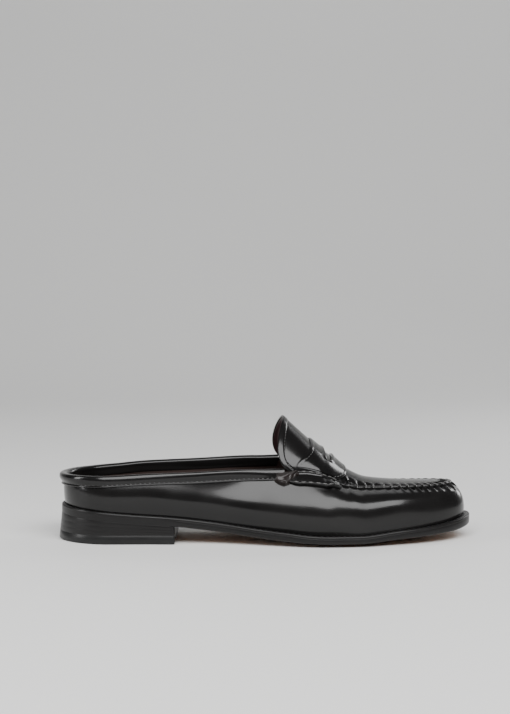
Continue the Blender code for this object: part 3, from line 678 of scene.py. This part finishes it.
def turn_at(place):
    """Turn whose point on the upper line lies at a place of the shoe's length."""
    back, front = COLLAR_SETBACK / LENGTH, 1 - SEAM_SETBACK / LENGTH
    return float(np.arccos(1 - 2 * (place - back) / (front - back)) / math.pi)


def below(points):
    """Length of leather from the first row of points down to each of them."""
    steps = np.linalg.norm(np.diff(points, axis=0), axis=-1)
    return np.concatenate((np.zeros((1, points.shape[1])), np.cumsum(steps, 0)))


def along_rows(points):
    """Length along the first row of points, from its start."""
    steps = np.linalg.norm(np.diff(points[0], axis=0), axis=-1)
    return np.concatenate(([0.0], np.cumsum(steps)))


SEAM_START = 0.672
polished = {"Specular IOR Level": 0.30, "Coat Weight": 0.12, "Coat Roughness": 0.08}
black_leather = soft_leather(
    "polished_black_leather", (0.0045, 0.0042, 0.0042), (0.007, 0.0066, 0.0064), (0.15, 0.24), 1600.0,
    0.00003, polished,
)

seam_turn = turn_at(SEAM_START)

# Crests of the gathers along the seam, by their distance in front of the shoe's middle: those
# of the outer side, which meet over the toe with those of the inner side.
CRESTS = (0.0535, 0.0590, 0.0647, 0.0696, 0.0765, 0.0817, 0.0876, 0.0926, 0.0980, 0.1028, 0.1074, 0.1116)
CREST_PITCH = 0.0055
PUCKERS = ((0.0345, 0.0050, 0.0016), (0.0410, 0.0085, 0.0032), (0.0475, 0.0055, 0.0018))  # place, depth, width
tight = np.concatenate((np.linspace(-1, -seam_turn, 900), np.linspace(seam_turn, 1, 900)))
seam_path = top_line(np.concatenate((np.linspace(-seam_turn, -1, 900), np.linspace(1, seam_turn, 900)[1:])))
seam_run = np.concatenate(([0.0], np.cumsum(np.linalg.norm(np.diff(seam_path, axis=0), axis=1))))


def seam_length(turn):
    """Length along the seam from its outer rear end, for turns of either side."""
    turn = np.asarray(turn, dtype=float)
    t = np.where(turn < 0, -turn, 2 - turn)
    spots = np.concatenate((np.linspace(seam_turn, 1, 900), 2 - np.linspace(1, seam_turn, 900)[1:]))
    return np.interp(t, spots, seam_run)


outer_x = seam_path[:900, 0]
outer_crests = np.interp(CRESTS, outer_x, seam_run[:900])
inner_crests = seam_run[-1] - outer_crests[::-1] + 0.0008 * np.sin(np.arange(len(CRESTS)) * 2.1)
gap = inner_crests[0] - outer_crests[-1]
toe_crests = outer_crests[-1] + gap * np.arange(1, round(gap / CREST_PITCH)) / round(gap / CREST_PITCH)
crests = np.concatenate((outer_crests, toe_crests, inner_crests))


def gather(length):
    """1 on a crest of the gathers and 0 in the hollow between two of them."""
    steps = np.interp(length, crests, np.arange(len(crests)), left=-0.5, right=len(crests) - 0.5)
    return np.abs(np.cos(np.pi * steps))


def toe_share(length):
    """How near the toe a point of the seam lies: 0 over the instep's end, 1 round the toe."""
    return smooth(0.30, 0.75, 1 - np.abs(length / seam_run[-1] * 2 - 1))


side_turns = np.concatenate((np.linspace(0, seam_turn, 120)[:-1], np.linspace(seam_turn, 1, 300)))
turns = np.concatenate((-side_turns[::-1], side_turns[1:]))
ups = 1 - np.concatenate((np.linspace(0, 0.3, 26)[:-1], np.linspace(0.3, 1, 22)))
turn_grid, up_grid = np.broadcast_arrays(turns[None, :], ups[:, None])
outside = wall(turn_grid, up_grid)
facing = wall_normal(turn_grid, up_grid)
drop = below(outside)
length = seam_length(turns)[None, :]
on_seam = smooth(seam_turn - 0.01, seam_turn + 0.02, np.abs(turns))[None, :]
fold = gather(length) ** 5 * (0.2 + 0.8 * toe_share(length))
reach = smooth(0.0085, 0.0012, drop)
hollow = (1 - gather(length) ** 1.5) * toe_share(length)
lift = (0.0010 * fold * smooth(0.0, 0.0012, drop) - 0.0004 * hollow) * reach * on_seam
for spot, deep, wide in PUCKERS:
    flank = wide * np.clip(1 - (drop - 0.0045) / deep, 0.0, 1.0)
    notch = np.clip(1 - np.abs(outside[..., 0] - spot) / np.maximum(flank, 1e-5), 0.0, 1.0)
    lift = lift - 0.0011 * notch * smooth(0.0020, 0.0045, drop)
outside = outside + facing * lift[..., None]
inside = (wall(turn_grid, up_grid) - facing * LEATHER)[::-4]
bm = bmesh.new()
laid(bm, np.concatenate((outside, inside, outside[:1])))
vamp = piece("vamp_and_quarters", bm, black_leather)
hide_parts("upper")

# Apron: the plug over the instep and toes, cut in one with the tongue that stands up over the
# foot. It is crowned over the last and its edge is sewn to the gathered wall.

TONGUE_HEIGHT = 0.0797
TONGUE_BOW = 0.0064
TONGUE_LEAN = 0.0022
CORNER = 0.5510
HEM = 0.0046  # tongue's edge to the stitches of its hem
HEM_PITCH = 0.0024
RIDGE = table(
    "place height round bow",
    (0.5510, 1.000, 0.50, 1.0),
    (0.607, 0.807, 0.50, 0.1),
    (0.658, 0.667, 0.30, 0.0),
    (0.698, 0.560, 0.20, 0.0),
    (0.745, 0.492, 0.15, 0.0),
    (0.806, 0.469, 0.15, 0.0),
    (0.866, 0.459, 0.20, 0.0),
    (0.930, 0.452, 0.20, 0.0),
    (0.952, 0.434, 0.20, 0.0),
)


def apron(turn, across):
    """Outer surface of apron, instep and tongue; across runs from -1 outside to 1 inside."""
    turn, across = np.broadcast_arrays(np.asarray(turn, dtype=float), np.asarray(across, dtype=float))
    outer, inner = top_line(-np.abs(turn)), top_line(np.abs(turn))
    middle = (outer + inner) / 2
    point = middle + (inner - outer) / 2 * across[..., None]
    place = middle[..., 0] / LENGTH + 0.5
    crown = np.maximum(TONGUE_HEIGHT * read(RIDGE, "height", place) - middle[..., 2], 0.0)
    arch = mix(1 - across**2, np.sqrt(np.maximum(1 - across**2, 0.0)), read(RIDGE, "round", place))
    swing = arch**0.7
    bow = TONGUE_BOW * 4 * swing * (1 - swing) + TONGUE_LEAN * arch
    point[..., 2] += crown * arch
    point[..., 0] -= bow * read(RIDGE, "bow", place)
    return point


def apron_normal(turn, across):
    across = np.clip(across, NEXT - 1, 1 - NEXT)
    turn = np.minimum(turn, 1 - 2 * NEXT)
    along = apron(turn + NEXT, across) - apron(turn - NEXT, across)
    aside = apron(turn, across + NEXT) - apron(turn, across - NEXT)
    return unit(np.cross(along, aside))


corner_turn = turn_at(CORNER)
front_turns = np.concatenate((np.linspace(corner_turn, seam_turn, 90)[:-1], np.linspace(seam_turn, 0.9995, 260)))
spread = np.sin(np.pi / 2 * np.linspace(-1, 1, 141))
turn_grid, spread_grid = np.broadcast_arrays(front_turns[None, :], spread[:, None])
outside = apron(turn_grid, spread_grid)
facing = apron_normal(turn_grid, spread_grid)


def nearest_seam(points):
    """Distance from each point to the seam's line in plan, and the seam's length there."""
    flat = points[..., :2].reshape(-1, 2)
    apart = np.linalg.norm(flat[:, None, :] - seam_path[None, ::6, :2], axis=2)
    best = apart.argmin(1)
    shape = points.shape[:-1]
    return apart.min(1).reshape(shape), seam_run[::6][best].reshape(shape)


from_edge = below(np.swapaxes(outside, 0, 1)).T
distance, length = nearest_seam(outside)
before = smooth(seam_path[0, 0] - 0.004, seam_path[0, 0] + 0.006, outside[..., 0])
band = smooth(0.0085, 0.0020, distance) * before
lift = 0.0009 * gather(length) ** 6 * band - 0.0010 * (1 - gather(length) ** 2) * band
lift -= 0.0004 * smooth(0.0060, 0.0020, distance) * before
hem = smooth(HEM + 0.0002, HEM - 0.0010, from_edge)
lift += 0.0004 * hem * smooth(0.0, 0.0010, from_edge) - 0.0003 * np.exp(-(((from_edge - HEM) / 0.0004) ** 2))
outside = outside + facing * lift[..., None]
bm = bmesh.new()
laid(bm, outside)
plug = piece("apron_and_tongue", bm, black_leather, closed=False)
plug_thickness = plug.modifiers.new("leather", "SOLIDIFY")
plug_thickness.thickness = LEATHER
plug_thickness.offset = -1
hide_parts("upper")

hem_line = np.array([[np.interp(HEM, from_edge[k], outside[k, :, j]) for j in range(3)] for k in range(4, 137)])
hem_up = facing[4:137, 10] * 0.001
holes = walked(np.concatenate((hem_line, hem_up), 1), HEM_PITCH)
bm = bmesh.new()
stitch_row(
    bm, mix(holes[:-1], holes[1:], 0.15)[:, :3], mix(holes[:-1], holes[1:], 0.80)[:, :3], holes[:-1, 3:], 0.0006
)
hem_stitches = piece("tongue_stitches", bm, thread)

# Lining: thin burgundy brown leather glued inside the upper, seen in the mouth of the shoe and
# behind the tongue, where it ends just short of the black leather's edge. Inside the wall it is
# drawn in the insole's darker sock leather instead, as painted shade in the mouth.

lining_leather = soft_leather(
    "lining_leather", (0.030, 0.013, 0.014), (0.050, 0.022, 0.023), (0.40, 0.55), 1300.0, 0.00006, {}
)
bm = bmesh.new()
laid(bm, (outside - facing * (LEATHER + 0.0001))[:, 2:])
tongue_lining = piece("tongue_lining", bm, lining_leather, closed=False)
lining_thickness = tongue_lining.modifiers.new("leather", "SOLIDIFY")
lining_thickness.thickness = WALL - LEATHER
lining_thickness.offset = -1
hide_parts("upper")

bm = bmesh.new()
turn_grid, up_grid = np.broadcast_arrays(turns[None, ::3], np.linspace(0.97, 0.02, 24)[:, None])
skin, facing = wall(turn_grid, up_grid), wall_normal(turn_grid, up_grid)
near, far = skin - facing * (LEATHER + 0.0001), (skin - facing * WALL)[::-1]
laid(bm, np.concatenate((near, far, near[:1])))
# The wall's lining takes the darker sock leather, not the burgundy: painted shade inside the mouth.
wall_lining = piece("wall_lining", bm, sock_and_lining_shade_leather)
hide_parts("upper")

# Seam: the wall's edge and the apron's edge are drawn together by hand over a thin cord, so it
# stands up as a row of small swellings with a stitch of waxed thread in each pinch.

SEAM = 0.0013
ends = (-seam_turn, 2 - seam_turn)
seam_at = np.linspace(0, seam_run[-1], 900)
seam_middle = np.stack([np.interp(seam_at, seam_run, seam_path[:, k]) for k in range(3)], -1)
seam_along = unit(np.gradient(seam_middle, axis=0))
seam_aside = unit(np.cross(seam_along, (0.0, 0.0, 1.0)))
seam_up = np.cross(seam_aside, seam_along)
pinch = gather(seam_at) ** 3
radius = 0.00125 - 0.00035 * pinch
radius *= 0.25 + 0.75 * smooth(0, 0.003, seam_at) * smooth(0, 0.003, seam_run[-1] - seam_at)
angles = np.linspace(0, 2 * math.pi, 17)
centre = seam_middle + seam_up * 0.0006 + seam_aside * -0.0002
tube = centre[None] + radius[None, :, None] * (
    np.cos(angles)[:, None, None] * seam_aside[None] * 1.15 + np.sin(angles)[:, None, None] * seam_up[None]
)
bm = bmesh.new()
laid(bm, tube)
bmesh.ops.holes_fill(bm, edges=[edge for edge in bm.edges if edge.is_boundary], sides=0)
bead = piece("apron_seam_bead", bm, black_leather)
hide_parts("apron_seam")

bm = bmesh.new()
for mark in crests:
    spot = [np.interp(mark, seam_at, line) for line in seam_middle.T]
    aside = np.array([np.interp(mark, seam_at, line) for line in seam_aside.T])
    upward = np.array([np.interp(mark, seam_at, line) for line in seam_up.T])
    low = spot + aside * 0.0013 + upward * 0.0003
    top = spot + aside * 0.0002 + upward * 0.0015
    far = spot - aside * (0.0017 + 0.0012 * toe_share(mark)) + upward * 0.0012
    stitch_row(bm, [low, top], [top, far], [aside + upward, upward - aside], 0.0009)
seam_stitches = piece("apron_seam_stitches", bm, thread)

# Collar binding: a padded strip of the same leather, folded over the rim and stitched through
# near its lower edge.

LINING_DEPTH = 0.0050
COLLAR_END = 0.0032


def up_below(turns, depth):
    """The up values that lie a given depth below the wall's upper line, one for each turn."""
    ups = np.linspace(1, 0, 60)
    runs = below(wall(turns[None, :], ups[:, None]))
    depth = np.broadcast_to(depth, turns.shape)
    return np.array([np.interp(depth[k], runs[:, k], ups) for k in range(len(turns))])


def wall_skin(turns, up, lift):
    return wall(turns, up) + wall_normal(turns, up) * np.asarray(lift)[..., None]


collar_turn = turn_at(CORNER - COLLAR_END / LENGTH)
collar_turns = np.linspace(-collar_turn, collar_turn, 420)
rim = wall(collar_turns, 1.0)
rim_out = wall_normal(collar_turns, np.ones_like(collar_turns))
rim_up = unit(rim - wall(collar_turns, 1 - NEXT))
rows = []
fuller = 1 + 0.8 * smooth(0.30, 0.05, np.abs(collar_turns))
for depth, lift in ((0.0052, 0.0), (0.0053, 0.0003), (0.0051, 0.0006), (0.0047, 0.0007), (0.0043, 0.00055),
                    (0.0040, 0.00035), (0.0037, 0.00045), (0.0031, 0.0007), (0.0020, 0.0012), (0.0008, 0.0016)):
    rows.append(wall_skin(collar_turns, up_below(collar_turns, depth), CLEAR + lift * fuller))
for out_by, up_by in ((0.0016, 0.0003), (0.0015, 0.0010), (0.0012, 0.0016), (0.0005, 0.0020), (-0.0006, 0.0021),
                      (-0.0016, 0.0019), (-0.0023, 0.0013), (-0.0026, 0.0004)):
    out_by = CLEAR + (out_by * fuller if out_by > 0 else out_by)
    rows.append(rim + rim_out * np.broadcast_to(out_by, (420,))[:, None] + rim_up * (CLEAR + up_by))
for depth, lift in ((0.0012, 0.0006), (0.0026, 0.0005), (0.0042, 0.0004), (LINING_DEPTH, 0.0)):
    rows.append(wall_skin(collar_turns, up_below(collar_turns, depth), np.full(420, -WALL - CLEAR - lift)))
for depth in (0.0025,):
    rows.append(wall_skin(collar_turns, up_below(collar_turns, depth), np.full(420, -WALL - CLEAR)))
rows.append(rim - rim_out * (WALL + CLEAR) + rim_up * CLEAR)
rows.append(rim + rim_out * CLEAR + rim_up * CLEAR)
rows.append(wall_skin(collar_turns, up_below(collar_turns, 0.0025), np.full(420, CLEAR)))
binding_rows = np.array(rows + rows[:1])
bm = bmesh.new()
laid(bm, binding_rows)
bmesh.ops.holes_fill(bm, edges=[edge for edge in bm.edges if edge.is_boundary], sides=0)
binding = piece("collar_band", bm, black_leather)
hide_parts("collar_binding")

COLLAR_PITCH = 0.0030
groove = binding_rows[5]
holes = walked(groove, COLLAR_PITCH)
outward = unit(holes - holes.mean(0)) * (1, 1, 0)
outward = unit(np.stack((np.gradient(holes[:, 1]), -np.gradient(holes[:, 0]), 0 * holes[:, 0]), -1))
bm = bmesh.new()
lifted = holes + outward * 0.0002
stitch_row(bm, mix(lifted[:-1], lifted[1:], 0.14), mix(lifted[:-1], lifted[1:], 0.86), outward[:-1], 0.0006)
collar_stitches = piece("collar_stitches", bm, thread)

# Strap: a saddle of the same leather over the instep, its edges folded and stitched, with the
# lens-shaped slot of a penny loafer cut across its middle.

STRAP = 0.0016
STRAP_WIDTH = 0.0232
STRAP_REAR = 0.1640
STRAP_SWEEP = 0.0092
SLOT_BEHIND = 0.0110
SLOT_LENGTH = 0.0380
SLOT_WIDTH = 0.0055


def turns_at(place):
    back, front = COLLAR_SETBACK / LENGTH, 1 - SEAM_SETBACK / LENGTH
    return np.arccos(np.clip(1 - 2 * (place - back) / (front - back), -1, 1)) / math.pi


def strap_point(along, across, lift):
    """Place over the apron, a length behind the strap's rear edge and a share across it."""
    place = (STRAP_REAR + along - STRAP_SWEEP * np.abs(across) ** 5) / LENGTH
    turn = turns_at(place)
    return apron(turn, across) + apron_normal(turn, across) * np.asarray(lift)[..., None]


def leaf(bm, over, under, keep=None):
    """Closed leaf of leather: rows of points over and under it, with the faces that keep names."""
    layer = bm.verts.layers.float_vector.new("under")
    verts = laid(bm, over)
    for vert, point in zip(verts, under.reshape(-1, 3)):
        vert[layer] = point
    if keep is not None:
        columns = over.shape[1] - 1
        bm.faces.ensure_lookup_table()
        doomed = [bm.faces[r * columns + c] for r, c in np.argwhere(~keep)]
        bmesh.ops.delete(bm, geom=doomed, context="FACES")
    bmesh.ops.remove_doubles(bm, verts=bm.verts, dist=1e-6)
    bmesh.ops.dissolve_degenerate(bm, edges=bm.edges, dist=1e-7)
    moved = bmesh.ops.extrude_face_region(bm, geom=list(bm.faces), use_keep_orig=True)
    for item in moved["geom"]:
        if isinstance(item, bmesh.types.BMVert):
            item.co = item[layer]


across = np.sin(np.pi / 2 * np.linspace(-1, 1, 121)) * 0.985
slot_turn = turns_at(np.array((STRAP_REAR + SLOT_BEHIND) / LENGTH))
over_ridge = apron(np.full(across.shape, slot_turn), across)
ridge_run = np.concatenate(([0.0], np.cumsum(np.linalg.norm(np.diff(over_ridge, axis=0), axis=1))))
from_ridge = ridge_run - ridge_run[60]
opening = SLOT_WIDTH / 2 * np.sqrt(np.maximum(1 - (from_ridge / (SLOT_LENGTH / 2)) ** 2, 0.0))
behind = np.array((0, 0.0004, 0.0010, 0.0016, 0.0021, 0.0026, 0.0036, 0.0052, 0.0068, 0.0082, 0.0092, 0.0100,
                   0.0106, SLOT_BEHIND))
before = np.array((SLOT_BEHIND, 0.0114, 0.0120, 0.0128, 0.0140, 0.0160, 0.0180, 0.0196, 0.0206, 0.0211, 0.0216,
                   0.0222, 0.0228, STRAP_WIDTH))
rear_rows = behind[:, None] * (SLOT_BEHIND - opening[None]) / SLOT_BEHIND
rest = STRAP_WIDTH - SLOT_BEHIND
front_rows = STRAP_WIDTH - (STRAP_WIDTH - before[:, None]) * (rest - opening[None]) / rest
along = np.concatenate((rear_rows, front_rows))
edge_gap = np.minimum(along, STRAP_WIDTH - along)
slot_gap = np.abs(np.concatenate((behind, before))[:, None] - SLOT_BEHIND) + 0 * along
open_here = opening[None] > 1e-5
height = 0.20 + 0.40 * smooth(0.0, 0.0006, edge_gap) - 0.10 * np.exp(-(((edge_gap - 0.0019) / 0.0003) ** 2))
height = height * (0.60 + 0.40 * smooth(1.0, 0.5, np.abs(across)))[None]
lip = 0.45 * np.exp(-((slot_gap / 0.0016) ** 2)) * smooth(0.0, SLOT_WIDTH / 3, opening[None])
height = height + lip - 0.5 * lip * np.exp(-((slot_gap / 0.0003) ** 2))
over = strap_point(along, across[None] + 0 * along, CLEAR + STRAP * height)
under = strap_point(along, across[None] + 0 * along, np.full(along.shape, CLEAR))
keep = np.ones((len(along) - 1, len(across) - 1), dtype=bool)
keep[len(behind) - 1] = False
bm = bmesh.new()
leaf(bm, over, under, keep)
strap = piece("penny_strap", bm, black_leather)
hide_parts("saddle_strap")

EDGE_PITCH = 0.0026
bm = bmesh.new()
for row in (0.0019, STRAP_WIDTH - 0.0019):
    fine = np.linspace(-0.975, 0.975, 500)
    line = strap_point(np.full(500, row), fine, CLEAR + STRAP * (0.30 + 0.20 * smooth(1.0, 0.5, np.abs(fine))))
    out_of = strap_point(np.full(500, row), fine, np.full(500, 0.01)) - line
    holes = walked(line, EDGE_PITCH)
    risen = walked(np.concatenate((line, out_of), 1), EDGE_PITCH)
    stitch_row(bm, mix(holes[:-1], holes[1:], 0.16), mix(holes[:-1], holes[1:], 0.84), risen[:-1, 3:], 0.0005)
strap_stitches = piece("strap_stitches", bm, thread)

# Rolled ends of the strap: each is a long strip that lies along the apron's edge and is sewn
# down with two rows of heavy stitches, one on each of its swollen borders.

ROLL_START = 0.0014
ROLL = 0.0026
ROLL_DEPTH = 0.0108
ROLL_SHAPE = table(
    "place depth swell",
    (0.00, 0.72, 0.75),
    (0.25, 1.00, 0.95),
    (0.60, 0.98, 1.00),
    (1.00, 0.68, 0.70),
)
ROLL_SECTION = table(
    "place lift",
    (0.00, 0.05),
    (0.04, 0.32),
    (0.10, 0.42),
    (0.17, 0.28),
    (0.24, 0.22),
    (0.50, 0.48),
    (0.72, 0.70),
    (0.79, 0.72),
    (0.87, 1.00),
    (0.94, 0.90),
    (1.00, 0.05),
)
STITCH_PITCH = 0.0046


def roll_point(side, step, down, extra=0.0):
    """Place on a rolled end: step from its rear end to the seam, down from its upper edge."""
    turn = side * mix(turn_at(CORNER - ROLL_START / LENGTH), seam_turn - 0.0016, step)
    depth = ROLL_DEPTH * read(ROLL_SHAPE, "depth", step) * down
    up = up_below(turn, depth)
    ends = smooth(-0.02, 0.05, step) * smooth(1.02, 0.97, step)
    lift = CLEAR + (ROLL * read(ROLL_SHAPE, "swell", step) * read(ROLL_SECTION, "lift", down)) * ends + extra
    return wall_skin(turn, up, lift)


steps = np.linspace(0, 1, 121)
downs = np.concatenate((np.linspace(0.0, 0.06, 4), np.linspace(0.09, 0.94, 26), np.linspace(0.96, 1.0, 4)))
for side, name in ((-1, "strap_end_outer"), (1, "strap_end_inner")):
    over = np.array([roll_point(side, steps, np.full(121, down)) for down in downs])
    under = []
    for down in downs:
        turn = side * mix(turn_at(CORNER - ROLL_START / LENGTH), seam_turn - 0.0016, steps)
        depth = ROLL_DEPTH * read(ROLL_SHAPE, "depth", steps) * down
        under.append(wall_skin(turn, up_below(turn, depth), np.full(121, CLEAR * 0.5)))
    bm = bmesh.new()
    leaf(bm, over, np.array(under))
    roll = piece(name, bm, black_leather)
    node = "strap_roll_outer" if side < 0 else "strap_roll_inner"
    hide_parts(node)
    bm = bmesh.new()
    for down in (0.10, 0.88):
        fine = np.linspace(0.1, 0.93, 200)
        line = roll_point(side, fine, np.full(200, down), 0.0001)
        risen = roll_point(side, fine, np.full(200, down), 0.01) - line
        holes = walked(np.concatenate((line, risen), 1), STITCH_PITCH)
        starts, stops = mix(holes[:-1], holes[1:], 0.1), mix(holes[:-1], holes[1:], 0.9)
        stitch_row(bm, starts[:, :3], stops[:, :3], holes[:-1, 3:], 0.0010)
    heavy = piece(name + "_stitches", bm, thread)

# Tucks: where the collar's binding ends under the strap, its leather is gathered into a small
# crumpled knot on either side, pulled down under the strap's rolled end.

TUCK_REAR, TUCK_FRONT = 0.0042, 0.0205  # from the shoe's middle
tuck_leather = soft_leather(
    "tuck_leather", (0.010, 0.0075, 0.007), (0.018, 0.013, 0.012), (0.22, 0.36), 1300.0, 0.00006,
    {"Specular IOR Level": 0.30, "Coat Weight": 0.08},
)
rear_turn, front_turn = turn_at(0.5 + TUCK_REAR / LENGTH), turn_at(0.5 + TUCK_FRONT / LENGTH)
steps, downs = np.linspace(0, 1, 70), np.linspace(0, 1, 44)
for side, name in ((-1, "outer_tuck"), (1, "inner_tuck")):
    over, under = [], []
    for down in downs:
        turn = side * mix(rear_turn, front_turn, steps)
        reach = 0.0100 * (0.55 + 0.45 * np.sin(np.pi * np.clip(steps * 1.15, 0, 1))) - 0.0012 * steps
        up = up_below(turn, 0.0004 + reach * down)
        rounded = smooth(0, 0.16, steps) * smooth(1, 0.86, steps) * smooth(0, 0.12, down) * smooth(1, 0.86, down)
        fan = np.arctan2(down - 1.15, steps - 0.55) * 7.0 + 1.6 * np.sin(6.0 * steps + 3.0 * down)
        folds = 0.5 + 0.5 * np.sin(fan + 0.8 * np.sin(11.0 * down + 4.0 * steps))
        over.append(wall_skin(turn, up, CLEAR + (0.0014 + 0.0016 * folds) * rounded))
        under.append(wall_skin(turn, up, np.full(70, CLEAR * 0.5)))
    bm = bmesh.new()
    leaf(bm, np.array(over), np.array(under))
    tuck = piece(name, bm, tuck_leather)
